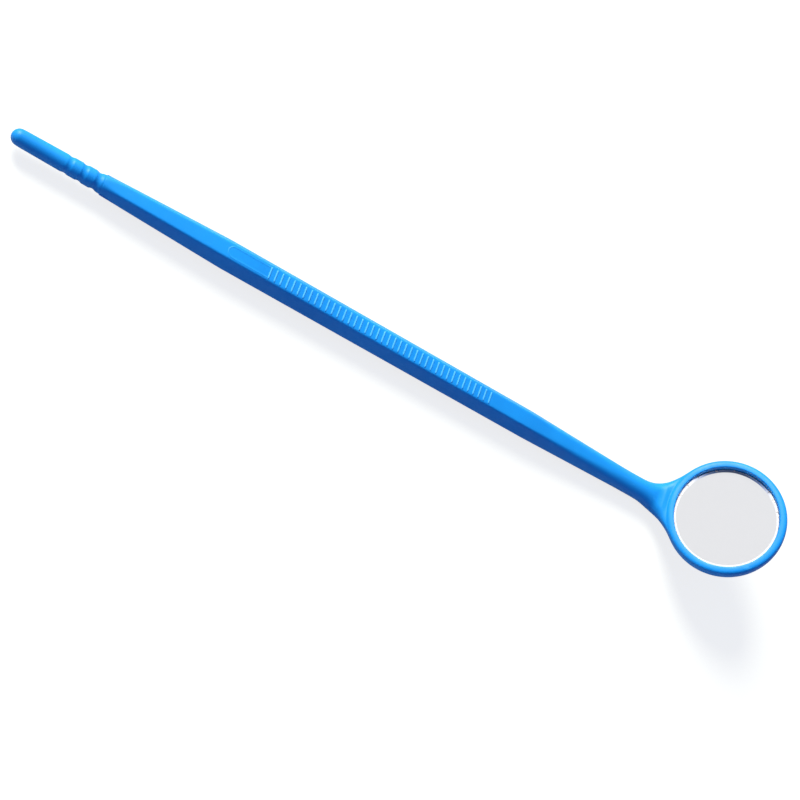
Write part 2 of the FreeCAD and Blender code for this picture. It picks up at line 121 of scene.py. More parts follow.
# places that follow from those sizes
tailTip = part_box("handle")[0].x / mm
gripStart = handle["tailLength"] + handle["shankLength"]
gripEnd = gripStart + handle["gripLength"]
neckStart = gripEnd + handle["neckTaper"]
neckEnd = neckStart + handle["neckLength"]
gripHalf = handle["gripFlats"] / 2
flareReach = head["rimRadius"] + handle["flareRadius"]
flareStart = math.sqrt(flareReach ** 2 - (handle["neckRadius"] + handle["flareRadius"]) ** 2)
bendLength = handle["bendRadius"] * head["tilt"]
bendTangent = handle["bendRadius"] * math.tan(head["tilt"] / 2)
afterBend = head["rimRadius"] + head["standoff"] - bendTangent
bendStart = neckEnd + flareStart - afterBend - bendLength

# the head's own axes: out of the mirror, away from the tail, and across
tilt = head["tilt"]
headUp = Vector((-math.sin(tilt), 0, math.cos(tilt)))
headAlong = Vector((math.cos(tilt), 0, math.sin(tilt)))
across = Vector((0, 1, 0))
cornerX = tailTip + bendStart + bendTangent
reach = head["rimRadius"] + head["standoff"]
headMiddle = Vector((cornerX, 0, handle["neckRadius"])) + headAlong * reach
rimTop = headMiddle + headUp * head["depth"] / 2


# point beside the neck's centre line, given the distance before the head's middle
def onLine(before, side, height):
    straight = before - afterBend - bendLength
    bend = handle["bendRadius"]
    if straight >= 0:
        x = bendStart - straight
        return Vector((tailTip + x, side, handle["neckRadius"] + height))
    turned = min(-straight / bend, tilt)
    arm = bend - height
    x = bendStart + arm * math.sin(turned)
    z = handle["neckRadius"] + bend - arm * math.cos(turned)
    point = Vector((tailTip + x, side, z))
    return point + headAlong * max(afterBend - before, 0)


# point of the head, the angle measured about its middle from the neck's side
def onHead(angle, radius, depth):
    out = across * math.sin(angle) - headAlong * math.cos(angle)
    return rimTop + out * radius - headUp * depth


# a loop across the handle has 24 points: two on each of six flats and two on each corner
flatTurns = [150, 90, 30, -30, -90, -150]
flatToCorner = math.cos(math.radians(30))  # a hexagon's reach to its flats over that to its corners


def hexagonLoop(halfHeight, side, rounding):
    reaches = [side, halfHeight, side, side, halfHeight, side]
    points = []
    for k in range(6):
        turn, after = math.radians(flatTurns[k]), math.radians(flatTurns[k] - 60)
        before = math.radians(flatTurns[k] + 60)

        def corner(first, second, a, b):
            between = math.sin(second - first)
            y = (a * math.sin(second) - b * math.sin(first)) / between
            z = (b * math.cos(first) - a * math.cos(second)) / between
            return Vector((y, z))

        a, b, c = (reaches[i] - rounding for i in (k - 1, k, (k + 1) % 6))
        left, right = corner(before, turn, a, b), corner(turn, after, b, c)
        out = Vector((math.cos(turn), math.sin(turn))) * rounding
        points += [left + out, right + out]
        for step in (20, 40):
            angle = turn - math.radians(step)
            points.append(right + Vector((math.cos(angle), math.sin(angle))) * rounding)
    return points


def roundLoop(halfHeight, halfWidth):
    grown = 1.0085  # subdivision draws a loop of 24 points in by this much
    points = []
    for turn in flatTurns:
        for step in (-7.5, 7.5, 22.5, 37.5):
            angle = math.radians(turn - step)
            y, z = math.cos(angle) * halfWidth, math.sin(angle) * halfHeight
            points.append(Vector((y, z)) * grown)
    return points


def blended(first, second, share):
    return [a.lerp(b, share) for a, b in zip(first, second)]


# radius of the tail at x from its tip, with the ring grooves taken out of it
def tailRadius(x):
    tip = handle["tipRadius"]
    if x < tip:
        return math.sqrt(max(tip ** 2 - (tip - x) ** 2, 0))
    radius = mix(tip, handle["rootRadius"], (x - tip) / (handle["tailLength"] - tip))
    for k in range(handle["grooveCount"]):
        middle = handle["grooveFirst"] + k * handle["groovePitch"]
        rounding = handle["grooveRounding"]
        if abs(x - middle) < rounding:
            bottom = handle["rootRadius"] - handle["grooveDepth"]
            dip = bottom + rounding - math.sqrt(rounding ** 2 - (x - middle) ** 2)
            radius = min(radius, dip)
    return radius


def straightLoop(x, points, axis=gripHalf):
    return [Vector((tailTip + x, p.x, axis + p.y)) for p in points]


# the tail's ball, then its shaft with loops crowded round each ring groove
def tailLoops():
    tip = handle["tipRadius"]
    loops = []
    for degrees in (14, 32, 50, 68, 84):
        turn = math.radians(degrees)
        radius = tip * math.sin(turn)
        loops.append(straightLoop(tip * (1 - math.cos(turn)), roundLoop(radius, radius)))
    stations = [3, 5.5, 8, 9.4]
    for k in range(handle["grooveCount"]):
        middle = handle["grooveFirst"] + k * handle["groovePitch"]
        stations += [middle + step for step in (-0.95, -0.72, -0.6, -0.3, 0, 0.3, 0.6, 0.72, 0.95)]
    stations.append(handle["tailLength"] - 0.1)
    return loops + [straightLoop(x, roundLoop(tailRadius(x), tailRadius(x))) for x in stations]


# the shank grows out of the round tail into a hexagon and widens into the grip
def gripLoops(grip):
    shank = hexagonLoop(handle["shankFlats"] / 2, handle["shankFlats"] / 2, handle["edgeRadius"])
    root = roundLoop(handle["rootRadius"], handle["rootRadius"])
    loops = []
    for x, share in ((0.1, 0.25), (0.9, 0.5), (2, 0.75), (3.4, 0.92), (4.8, 1)):
        grown = blended(shank, grip, x / handle["shankLength"])
        loops.append(straightLoop(handle["tailLength"] + x, blended(root, grown, share)))
    for share in (0.3, 0.45, 0.6, 0.8, 0.97):
        x = mix(handle["tailLength"], gripStart, share)
        loops.append(straightLoop(x, blended(shank, grip, share)))
    for share in (0.01, 0.15, 0.3, 0.5, 0.7, 0.85, 0.99):
        loops.append(straightLoop(mix(gripStart, gripEnd, share), grip))
    return loops


# the grip's hexagon tapers into the round neck, which lies a little lower
def neckLoops(grip):
    radius = handle["neckRadius"]
    neck = roundLoop(radius, radius)
    loops = []
    for share in (0.03, 0.2, 0.4, 0.6, 0.8, 0.97):
        x, axis = mix(gripEnd, neckStart, share), mix(gripHalf, radius, share)
        loops.append(straightLoop(x, blended(grip, neck, share), axis))
    for share in (0.04, 0.5, 0.97):
        loops.append(straightLoop(mix(neckStart, neckEnd, share), neck, radius))
    return loops


# half the flare's height and width at a distance before the head's middle
def flareHeight(before):
    bent = afterBend + bendLength
    places = [flareStart, bent, bent - bendLength / 2, afterBend, handle["flareEnd"]]
    shares = [0, 0.08, 0.35, 0.46, 1]
    for far, near, a, b in zip(places, places[1:], shares, shares[1:]):
        if before >= near:
            share = mix(a, b, (far - before) / (far - near))
            return mix(handle["neckRadius"], handle["flareEndHalf"], share)
    return handle["flareEndHalf"]


def flareWidth(before):
    rise = handle["flareRadius"] ** 2 - (flareStart - before) ** 2
    return handle["neckRadius"] + handle["flareRadius"] - math.sqrt(rise)


# the neck bends and flattens as it widens towards the head
def flareLoops():
    lastFlat = afterBend - 0.1
    loops, flat = [], []
    for before in (*handle["flareLoops"], lastFlat):
        halfHeight, halfWidth = flareHeight(before), flareWidth(before)
        side = (halfWidth - halfHeight) * flatToCorner + halfHeight
        sharp = hexagonLoop(halfHeight, side, halfHeight * handle["flareRoundness"])
        share = 0.7 * ease((handle["flareLoops"][0] - before) / 4)
        flat = blended(roundLoop(halfHeight, halfWidth), sharp, share)
        loops.append([onLine(before, p.x, p.y) for p in flat])
    # the last two spread from the flat section to the opening in the head's rim
    ends = [(columnAngle(column), *headRows[row]) for column, row in openingPlaces()]
    for share in (0.4, 0.8):
        loop = []
        for start, (angle, radius, depth) in zip(flat, ends):
            end = radius * math.cos(angle)
            before = mix(lastFlat, end, share)
            atStart = start.x / flareWidth(lastFlat)
            atEnd = radius * math.sin(angle) / flareWidth(end)
            side = flareWidth(before) * mix(atStart, atEnd, share)
            loop.append(onLine(before, side, mix(start.y, head["depth"] / 2 - depth, share)))
        loops.append(loop)
    return loops


# loops from the tail's ball to the last one before the head, as lists of points
def handleLoops():
    grip = hexagonLoop(gripHalf, gripHalf, handle["edgeRadius"])
    return tailLoops() + gripLoops(grip) + neckLoops(grip) + flareLoops()


rimOut = head["rimRadius"] * 1.003  # subdivision draws it back in
rimEdge, backEdge = head["rimRounding"], head["backRounding"]
cup, floorDepth = head["cupRadius"], head["cupDepth"]


# row on a rounding, moved out by what subdivision draws in rows this many degrees apart
def arcRow(radius, depth, rounding, degrees, apart=27):
    rounding *= 6 / (4 + 2 * math.cos(math.radians(apart)))
    turn = math.radians(degrees)
    return min(radius + rounding * math.cos(turn), rimOut), max(depth - rounding * math.sin(turn), 0)


# the head's turned section, from the middle of the cup's floor round to the middle of the
# back, as (radius, depth under the rim)
headRows = [
    (3.5, floorDepth),
    (cup - 0.8, floorDepth),
    (cup - 0.08, floorDepth),
    (cup, floorDepth - 0.08),
    (cup, 1.3),
    (cup, head["lipRounding"] + 0.12),
    (cup + 0.02, head["lipRounding"] * 0.55),
    (cup + 0.12, 0.03),
    (cup + 0.26, 0),
    arcRow(rimOut - rimEdge, rimEdge, rimEdge, 88),
    arcRow(rimOut - rimEdge, rimEdge, rimEdge, 62),
    arcRow(rimOut - rimEdge, rimEdge, rimEdge, 34),
    (rimOut, 1.05),
    arcRow(rimOut - backEdge, head["depth"] - backEdge, backEdge, -8, 34),
    arcRow(rimOut - backEdge, head["depth"] - backEdge, backEdge, -44, 34),
    arcRow(rimOut - backEdge, head["depth"] - backEdge, backEdge, -70),
    (rimOut - backEdge + 0.05, head["depth"]),
    (rimOut - backEdge - 1.4, head["depth"]),
    (3.5, head["depth"]),
]
openRows = (11, 14)  # the neck joins the head between these rows


def columnAngle(column):
    return (column - head["openColumns"] / 2) * 2 * math.pi / head["columns"]


# columns and rows round the opening, in the order of a handle loop
def openingPlaces():
    last = head["openColumns"]
    top, bottom = openRows
    places = [(column, top) for column in range(last + 1)]
    places += [(last, row) for row in range(top + 1, bottom)]
    places += [(column, bottom) for column in range(last, -1, -1)]
    places += [(0, row) for row in range(bottom - 1, top, -1)]
    return places


def scaled(mesh):
    mesh.transform(Matrix.Scale(mm, 4))
    return mesh


# an object's mesh as its modifiers leave it, kept as a plain mesh
def keepResult(piece):
    evaluated = piece.evaluated_get(bpy.context.evaluated_depsgraph_get())
    mesh = bpy.data.meshes.new_from_object(evaluated)
    piece.modifiers.clear()
    piece.data = mesh
    mesh.name = piece.name
    return piece


def addObject(name, data):
    added = bpy.data.objects.new(name, data)
    bpy.context.scene.collection.objects.link(added)
    return added


# one smooth moulding: the handle's loops run into an opening left in the head's rim
def makeHandle():
    cage = bmesh.new()
    loops = [[cage.verts.new(point) for point in loop] for loop in handleLoops()]
    tip = cage.verts.new((tailTip + 0.004, 0, gripHalf))
    for k in range(len(loops[0])):
        cage.faces.new((tip, loops[0][k], loops[0][k - 1]))

    count = head["columns"]
    rings = []
    for radius, depth in headRows:
        angles = [columnAngle(k) for k in range(count)]
        rings.append([cage.verts.new(onHead(angle, radius, depth)) for angle in angles])
    floor = cage.verts.new(onHead(0, 0, headRows[0][1]))
    back = cage.verts.new(onHead(0, 0, headRows[-1][1]))
    for k in range(count):
        after = (k + 1) % count
        cage.faces.new((floor, rings[0][k], rings[0][after]))
        cage.faces.new((back, rings[-1][after], rings[-1][k]))
        for row in range(len(rings) - 1):
            if k < head["openColumns"] and openRows[0] <= row < openRows[1]:
                continue
            upper, lower = rings[row], rings[row + 1]
            cage.faces.new((upper[k], lower[k], lower[after], upper[after]))

    loops.append([rings[row][column] for column, row in openingPlaces()])
    for first, second in zip(loops, loops[1:]):
        for k in range(len(first)):
            cage.faces.new((first[k - 1], first[k], second[k], second[k - 1]))
    bmesh.ops.recalc_face_normals(cage, faces=cage.faces)
    for face in cage.faces:
        face.smooth = True
    mesh = bpy.data.meshes.new("handle_moulding")
    cage.to_mesh(mesh)
    cage.free()
    piece = addObject("handle_moulding", scaled(mesh))
    smooth = piece.modifiers.new("smooth", "SUBSURF")
    smooth.levels = smooth.render_levels = 2
    return keepResult(piece)  # so its box is that of the smooth surface


def addNode(tree, kind, place=(0, 0), **settings):
    node = tree.nodes.new(kind)
    node.location = place
    for name, value in settings.items():
        setattr(node, name, value)
    return node


# gives a socket its value, which is a plain one or another node's output
def feed(link, socket, value):
    if hasattr(value, "is_output"):
        link(value, socket)
    else:
        socket.default_value = value


def reckon(nodes, link, operation, *values, place=(0, 0)):
    node = nodes.new("ShaderNodeMath")
    node.operation = operation
    node.location = place
    for socket, value in zip(node.inputs, values):
        feed(link, socket, value)
    return node.outputs[0]


# geometry tree with named inputs; returns it, its input and output nodes
def newTree(name, sockets):
    tree = bpy.data.node_groups.new(name, "GeometryNodeTree")
    tree.interface.new_socket("Geometry", in_out="OUTPUT", socket_type="NodeSocketGeometry")
    for label, kind, value in sockets:
        socket = tree.interface.new_socket(label, in_out="INPUT", socket_type=kind)
        if value is not None:
            socket.default_value = value
    given = addNode(tree, "NodeGroupInput", (-900, 0))
    return tree, given, addNode(tree, "NodeGroupOutput", (900, 0))


# runs a tree on a start mesh and keeps the result as a plain mesh object
def runTree(tree, name, start, inputs):
    piece = addObject(name, start)
    modifier = piece.modifiers.new(tree.name, "NODES")
    modifier.node_group = tree
    for item in tree.interface.items_tree:
        if item.in_out == "INPUT" and item.name in inputs:
            modifier[item.identifier] = inputs[item.name]
    return keepResult(piece)


# places a shape on points if there are any, then makes it real and gives it its finish
def finishTree(tree, given, result, points, shape):
    link = tree.links.new
    if points is not None:
        spread = addNode(tree, "GeometryNodeInstanceOnPoints", (450, 100))
        link(points, spread.inputs["Points"])
        link(shape, spread.inputs["Instance"])
        shape = spread.outputs[0]
    real = addNode(tree, "GeometryNodeRealizeInstances", (580, 100))
    finish = addNode(tree, "GeometryNodeSetMaterial", (720, 100))
    link(shape, real.inputs[0])
    link(real.outputs[0], finish.inputs["Geometry"])
    link(given.outputs["Finish"], finish.inputs["Material"])
    link(finish.outputs[0], result.inputs[0])


# a row of round-ended bars, each lying across the row and sunk into the face under it
def ribTree():
    tree, given, result = newTree("ribRow", [
        ("First rib", "NodeSocketVector", None),
        ("Rib count", "NodeSocketInt", 10),
        ("Pitch", "NodeSocketFloat", 0.001),
        ("Span", "NodeSocketFloat", 0.002),
        ("Rib radius", "NodeSocketFloat", 0.0002),
        ("End rounding", "NodeSocketFloat", 8.0),
        ("Finish", "NodeSocketMaterial", None),
    ])
    nodes, link = tree.nodes, tree.links.new
    offset = addNode(tree, "ShaderNodeCombineXYZ", (-700, 200))
    link(given.outputs["Pitch"], offset.inputs["X"])
    row = addNode(tree, "GeometryNodeMeshLine", (-500, 200), mode="OFFSET")
    link(given.outputs["Rib count"], row.inputs["Count"])
    link(given.outputs["First rib"], row.inputs["Start Location"])
    link(offset.outputs[0], row.inputs["Offset"])
    # one bar, from half the span on one side to half the span on the other
    bar = addNode(tree, "GeometryNodeCurvePrimitiveLine", (-300, -150))
    for name, half, height in (("Start", -0.5, -250), ("End", 0.5, -100)):
        corner = addNode(tree, "ShaderNodeCombineXYZ", (-500, height))
        reached = reckon(nodes, link, "MULTIPLY", given.outputs["Span"], half, place=(-700, height))
        link(reached, corner.inputs["Y"])
        link(corner.outputs[0], bar.inputs[name])
    fine = addNode(tree, "GeometryNodeResampleCurve", (-100, -150))
    fine.inputs["Count"].default_value = 21
    link(bar.outputs[0], fine.inputs["Curve"])
    # the bar keeps its thickness along the middle and closes round at both ends
    along = addNode(tree, "GeometryNodeSplineParameter", (-500, -450)).outputs["Factor"]
    spread = reckon(nodes, link, "MULTIPLY_ADD", along, 2, -1, place=(-300, -450))
    away = reckon(nodes, link, "ABSOLUTE", spread, place=(-150, -450))
    power = reckon(nodes, link, "POWER", away, given.outputs["End rounding"], place=(0, -450))
    left = reckon(nodes, link, "SUBTRACT", 1.02, power, place=(150, -450))
    thick = reckon(nodes, link, "SQRT", left, place=(300, -450))
    section = addNode(tree, "GeometryNodeCurvePrimitiveCircle", (-100, -700))
    section.inputs["Resolution"].default_value = 12
    link(given.outputs["Rib radius"], section.inputs["Radius"])
    shape = addNode(tree, "GeometryNodeCurveToMesh", (300, -150))
    shape.inputs["Fill Caps"].default_value = True
    link(fine.outputs[0], shape.inputs["Curve"])
    link(section.outputs[0], shape.inputs["Profile Curve"])
    link(thick, shape.inputs["Scale"])
    finishTree(tree, given, result, row.outputs["Mesh"], shape.outputs["Mesh"])
    return tree


# a raised line: a round bead that follows the edges of a path
def beadTree():
    tree, given, result = newTree("raisedLine", [
        ("Path", "NodeSocketGeometry", None),
        ("Bead radius", "NodeSocketFloat", 0.0001),
        ("Finish", "NodeSocketMaterial", None),
    ])
    link = tree.links.new
    curve = addNode(tree, "GeometryNodeMeshToCurve", (-600, 0))
    link(given.outputs["Path"], curve.inputs[0])
    section = addNode(tree, "GeometryNodeCurvePrimitiveCircle", (-600, -250))
    section.inputs["Resolution"].default_value = 10
    link(given.outputs["Bead radius"], section.inputs["Radius"])
    shape = addNode(tree, "GeometryNodeCurveToMesh", (-300, 0))
    shape.inputs["Fill Caps"].default_value = True
    link(curve.outputs[0], shape.inputs["Curve"])
    link(section.outputs[0], shape.inputs["Profile Curve"])
    finishTree(tree, given, result, None, shape.outputs["Mesh"])
    return tree


def pathMesh(name, points):
    mesh = bpy.data.meshes.new(name)
    mesh.from_pydata([p * mm for p in points], [(k, k + 1) for k in range(len(points) - 1)], [])
    return mesh


def shadeSmooth(piece):
    for polygon in piece.data.polygons:
        polygon.use_smooth = True


def newMaterial(name):
    material = bpy.data.materials.new(name)
    material.use_nodes = True
    nodes = material.node_tree.nodes
    nodes.clear()
    output = nodes.new("ShaderNodeOutputMaterial")
    output.location = (900, 0)
    shader = nodes.new("ShaderNodeBsdfPrincipled")
    shader.location = (600, 0)
    material.node_tree.links.new(shader.outputs[0], output.inputs["Surface"])
    return material, nodes, material.node_tree.links.new, shader, output


# object coordinates, moved so that the pattern's origin is at place
def patternPlace(nodes, link, place=(0, 0, 0), turn=(0, 0, 0), scale=(1, 1, 1)):
    where = nodes.new("ShaderNodeTexCoord")
    mapping = nodes.new("ShaderNodeMapping")
    mapping.vector_type = "TEXTURE"
    mapping.inputs["Location"].default_value = place
    mapping.inputs["Rotation"].default_value = turn
    mapping.inputs["Scale"].default_value = scale
    link(where.outputs["Object"], mapping.inputs["Vector"])
    return mapping.outputs[0]


# noise whose grains are about this many millimetres wide
def noise(nodes, link, vector, grain, detail=3, roughness=0.5):
    node = nodes.new("ShaderNodeTexNoise")
    node.inputs["Scale"].default_value = 1 / (grain * mm)
    node.inputs["Detail"].default_value = detail
    node.inputs["Roughness"].default_value = roughness
    link(vector, node.inputs["Vector"])
    return node.outputs["Fac"]


def ramp(nodes, link, value, low, high, bottom=0.0, top=1.0):
    node = nodes.new("ShaderNodeMapRange")
    node.interpolation_type = "SMOOTHSTEP"
    for name, number in (("From Min", low), ("From Max", high), ("To Min", bottom), ("To Max", top)):
        node.inputs[name].default_value = number
    link(value, node.inputs["Value"])
    return node.outputs["Result"]


def tint(nodes, link, share, first, second):
    node = nodes.new("ShaderNodeMix")
    node.data_type = "RGBA"
    feed(link, node.inputs[6], first)
    feed(link, node.inputs[7], second)
    link(share, node.inputs[0])
    return node.outputs[2]


def bump(nodes, link, shader, height, strength, distance, normal=None):
    node = nodes.new("ShaderNodeBump")
    node.inputs["Strength"].default_value = strength
    node.inputs["Distance"].default_value = distance * mm
    link(height, node.inputs["Height"])
    if normal:
        link(normal, node.inputs["Normal"])
    link(node.outputs[0], shader.inputs["Normal"])
    return node.outputs[0]


bluePlastic = {
    "colour": colour(14, 149, 237),
    "deeper": colour(10, 141, 229),
    "rubbed": colour(70, 176, 244),
    # rib tops: a lighter blue that is partly rubbed plastic and partly a painted highlight
    "crestRubAndHighlight": colour(92, 190, 250),
    "roughness": (0.42, 0.54),
    "specular": 0.32,
    "wornShare": 0.35,
    "scuffShare": 0.22,
    "crestRubAndHighlightShare": 0.55,
    "crestHeights": (0.02, 0.1),
}


# moulded plastic: faint clouding, a fine eggshell grain, rubbed edges, hairline scuffs, and rib tops
# painted lighter, partly as rubbing and partly as a painted highlight
def makeBluePlastic():
    material, nodes, link, shader, output = newMaterial("bluePlastic")
    place = patternPlace(nodes, link)
    cloud = noise(nodes, link, place, 9, 4)
    clouded = ramp(nodes, link, cloud, 0.3, 0.7)
    base = tint(nodes, link, clouded, bluePlastic["colour"], bluePlastic["deeper"])
    shape = nodes.new("ShaderNodeNewGeometry")
    worn = ramp(nodes, link, shape.outputs["Pointiness"], 0.52, 0.62, 0, bluePlastic["wornShare"])
    base = tint(nodes, link, worn, base, bluePlastic["rubbed"])
    # hairline scuffs run along the handle, where fingers and trays have rubbed it
    drawn = patternPlace(nodes, link, scale=(18, 1, 1))
    hair = noise(nodes, link, drawn, 0.35, 2)
    scuff = ramp(nodes, link, hair, 0.68, 0.74, 0, bluePlastic["scuffShare"])
    base = tint(nodes, link, scuff, base, bluePlastic["rubbed"])
    # what stands proud of the grip's face is painted lighter: partly rubbed plastic, partly a painted
    # highlight on the rib tops
    parts = nodes.new("ShaderNodeSeparateXYZ")
    link(place, parts.inputs[0])
    low, high = [(gripHalf * 2 + height) * mm for height in bluePlastic["crestHeights"]]
    proud = ramp(nodes, link, parts.outputs["Z"], low, high, 0, bluePlastic["crestRubAndHighlightShare"])
    end = (tailTip + gripEnd) * mm
    onGrip = ramp(nodes, link, parts.outputs["X"], end, end + mm, 1, 0)
    crestRubAndHighlight = reckon(nodes, link, "MULTIPLY", proud, onGrip)
    base = tint(nodes, link, crestRubAndHighlight, base, bluePlastic["crestRubAndHighlight"])
    link(base, shader.inputs["Base Color"])
    handled = noise(nodes, link, place, 2.5, 5)
    rough = ramp(nodes, link, handled, 0.3, 0.7, *bluePlastic["roughness"])
    link(rough, shader.inputs["Roughness"])
    grain = noise(nodes, link, place, 0.16, 3)
    first = bump(nodes, link, shader, grain, 0.12, 0.01)
    bump(nodes, link, shader, cloud, 0.25, 0.02, first)
    shader.inputs["IOR"].default_value = 1.5
    shader.inputs["Specular IOR Level"].default_value = bluePlastic["specular"]
    return material


mirrorGlass = {
    "colour": colour(250, 253, 252),
    "radius": 10.25,
    "bevelRadius": 9.9,
    "bevelDepth": 0.2,
    "back": 1.75,
    "waver": 0.025,
    "points": 180,
    "bevelRoughness": 0.05,
}
discPlace = tuple((rimTop * mm)[:])
discTurn = (0, -tilt, 0)


# flat round piece of the mirror, closed, from rows of (radius, depth, share of the waver);
# the waver keeps a hand-ground edge from being a perfect circle
def makeDisc(name, rows, points, waver):
    shape = bmesh.new()
    rings = []
    for radius, depth, share in rows:
        ring = []
        for k in range(points):
            turn = 2 * math.pi * k / points
            wave = math.sin(5 * turn + 1) + 0.6 * math.sin(11 * turn + 4) + 0.4 * math.sin(23 * turn)
            ring.append(shape.verts.new(onHead(turn, radius + share * waver * (wave / 2 - 1), depth)))
        rings.append(ring)
    shape.faces.new(rings[0])
    shape.faces.new(rings[-1])
    for first, second in zip(rings, rings[1:]):
        for k in range(points):
            shape.faces.new((first[k - 1], first[k], second[k], second[k - 1]))
    bmesh.ops.recalc_face_normals(shape, faces=shape.faces)
    for face in shape.faces:
        face.smooth = True
    mesh = bpy.data.meshes.new(name)
    shape.to_mesh(mesh)
    shape.free()
    mesh.set_sharp_from_angle(angle=math.radians(15))
    return addObject(name, scaled(mesh))


# distance from the mirror's middle, in millimetres, with the pattern laid on the disc
def discRadius(nodes, link):
    place = patternPlace(nodes, link, discPlace, discTurn, (mm, mm, mm))
    flat = nodes.new("ShaderNodeVectorMath")
    flat.operation = "MULTIPLY"
    flat.inputs[1].default_value = (1, 1, 0)
    link(place, flat.inputs[0])
    length = nodes.new("ShaderNodeVectorMath")
    length.operation = "LENGTH"
    link(flat.outputs[0], length.inputs[0])
    return length.outputs["Value"]


# clear polished glass, very slightly duller on its bevel
def makeMirrorGlass():
    material, nodes, link, shader, output = newMaterial("mirrorGlass")
    shader.inputs["IOR"].default_value = 1.52
    radius, start = discRadius(nodes, link), mirrorGlass["bevelRadius"]
    onBevel = ramp(nodes, link, radius, start - 0.03, start + 0.03)
    rough = ramp(nodes, link, onBevel, 0, 1, 0, mirrorGlass["bevelRoughness"])
    link(rough, shader.inputs["Roughness"])
    shader.inputs["Transmission Weight"].default_value = 1
    shader.inputs["Base Color"].default_value = mirrorGlass["colour"]
    # lamps shine through the glass on what lies behind it
    path = nodes.new("ShaderNodeLightPath")
    through = nodes.new("ShaderNodeBsdfTransparent")
    both = nodes.new("ShaderNodeMixShader")
    link(path.outputs["Is Shadow Ray"], both.inputs[0])
    link(shader.outputs[0], both.inputs[1])
    link(through.outputs[0], both.inputs[2])
    link(both.outputs[0], output.inputs["Surface"])
    return material


silverCoat = {
    "colour": colour(235, 233, 237),
    "spotColour": colour(150, 118, 88),
    "spotLimits": (0.56, 0.62),
    "spotBand": (0.45, 0.05),
    "spotRoughness": 0.5,
    "edge": 10.1,
    "top": 1.745,  # a hair inside the glass, so that the two never lie in one plane
    "bottom": 1.8,
    "waver": 0.02,
    "points": 180,
}


# bright silver with a few brownish specks where its edge has begun to tarnish
def makeSilver():
    material, nodes, link, shader, output = newMaterial("silver")
    radius, edge = discRadius(nodes, link), silverCoat["edge"]
    inner, outer = silverCoat["spotBand"]
    nearEdge = ramp(nodes, link, radius, edge - inner, edge - outer)
    grains = noise(nodes, link, patternPlace(nodes, link), 0.9, 4, 0.7)
    specks = ramp(nodes, link, grains, *silverCoat["spotLimits"])
    spots = reckon(nodes, link, "MULTIPLY", nearEdge, specks)
    base = tint(nodes, link, spots, silverCoat["colour"], silverCoat["spotColour"])
    link(base, shader.inputs["Base Color"])
    rough = ramp(nodes, link, spots, 0, 1, 0, silverCoat["spotRoughness"])
    link(rough, shader.inputs["Roughness"])
    shader.inputs["Metallic"].default_value = 1
    return material


lacquer = {
    "colour": colour(118, 122, 126),
    "mottled": colour(134, 137, 140),
    "cloud": 2,
    "roughness": (0.42, 0.58),
    "grain": 0.4,
    "grainDetail": 3,
    "relief": (0.2, 0.01),
}
bondingPad = {
    "colour": colour(240, 240, 238),
    "mottled": colour(248, 248, 247),
    "cloud": 1.5,
    "roughness": (0.7, 0.85),
    "grain": 0.15,
    "grainDetail": 2,
    "relief": (0.3, 0.02),
}


# dull coat of paint or fine closed-cell foam, softly mottled and finely grained
def makeMottled(name, finish):
    material, nodes, link, shader, output = newMaterial(name)
    place = patternPlace(nodes, link)
    cloud = ramp(nodes, link, noise(nodes, link, place, finish["cloud"], 4), 0.3, 0.7)
    base = tint(nodes, link, cloud, finish["colour"], finish["mottled"])
    link(base, shader.inputs["Base Color"])
    link(ramp(nodes, link, cloud, 0, 1, *finish["roughness"]), shader.inputs["Roughness"])
    grain = noise(nodes, link, place, finish["grain"], finish["grainDetail"])
    bump(nodes, link, shader, grain, *finish["relief"])
    return material


plastic = makeBluePlastic()
print("finishes made")

moulding = makeHandle()
moulding.data.materials.append(plastic)
print("handle moulding made")

ribs = {
    "first": 8.3,
    "pitch": 1.25,
    "count": 41,
    "height": 0.12,
    "radius": 0.24,
    "span": 2.6,
}
ribRow = runTree(ribTree(), "grip_ribs", bpy.data.meshes.new("ribStart"), {
    "First rib": Vector((tailTip + gripStart + ribs["first"], 0,
                         gripHalf * 2 + ribs["height"] - ribs["radius"])) * mm,
    "Rib count": ribs["count"],
    "Pitch": ribs["pitch"] * mm,
    "Span": ribs["span"] * mm,
    "Rib radius": ribs["radius"] * mm,
    "Finish": plastic,
})
shadeSmooth(ribRow)
print("grip ribs made")

panel = {
    "offset": 0.6,
    "width": 2.3,
    "line": 0.3,
    "height": 0.03,
    "bead": 0.38,
}
bead = beadTree()


# an open loop: down one side from the first rib, round the end, and back up the other
def panelPath():
    radius = (panel["width"] - panel["line"]) / 2
    start = tailTip + gripStart - panel["offset"] + panel["width"] / 2
    end = tailTip + gripStart + ribs["first"]
    z = gripHalf * 2 + panel["height"] - panel["bead"]
    points = [Vector((mix(end, start, k / 8), radius, z)) for k in range(8)]
    for k in range(13):
        turn = math.pi / 2 + math.pi * k / 12
        points.append(Vector((start + radius * math.cos(turn), radius * math.sin(turn), z)))
    return points + [Vector((mix(start, end, k / 8), -radius, z)) for k in range(1, 9)]


panelLine = runTree(bead, "panel_outline", pathMesh("panelPath", panelPath()), {
    "Bead radius": panel["bead"] * mm,
    "Finish": plastic,
})
shadeSmooth(panelLine)

parting = {
    "radius": 0.07,
    "proud": 0.02,
}


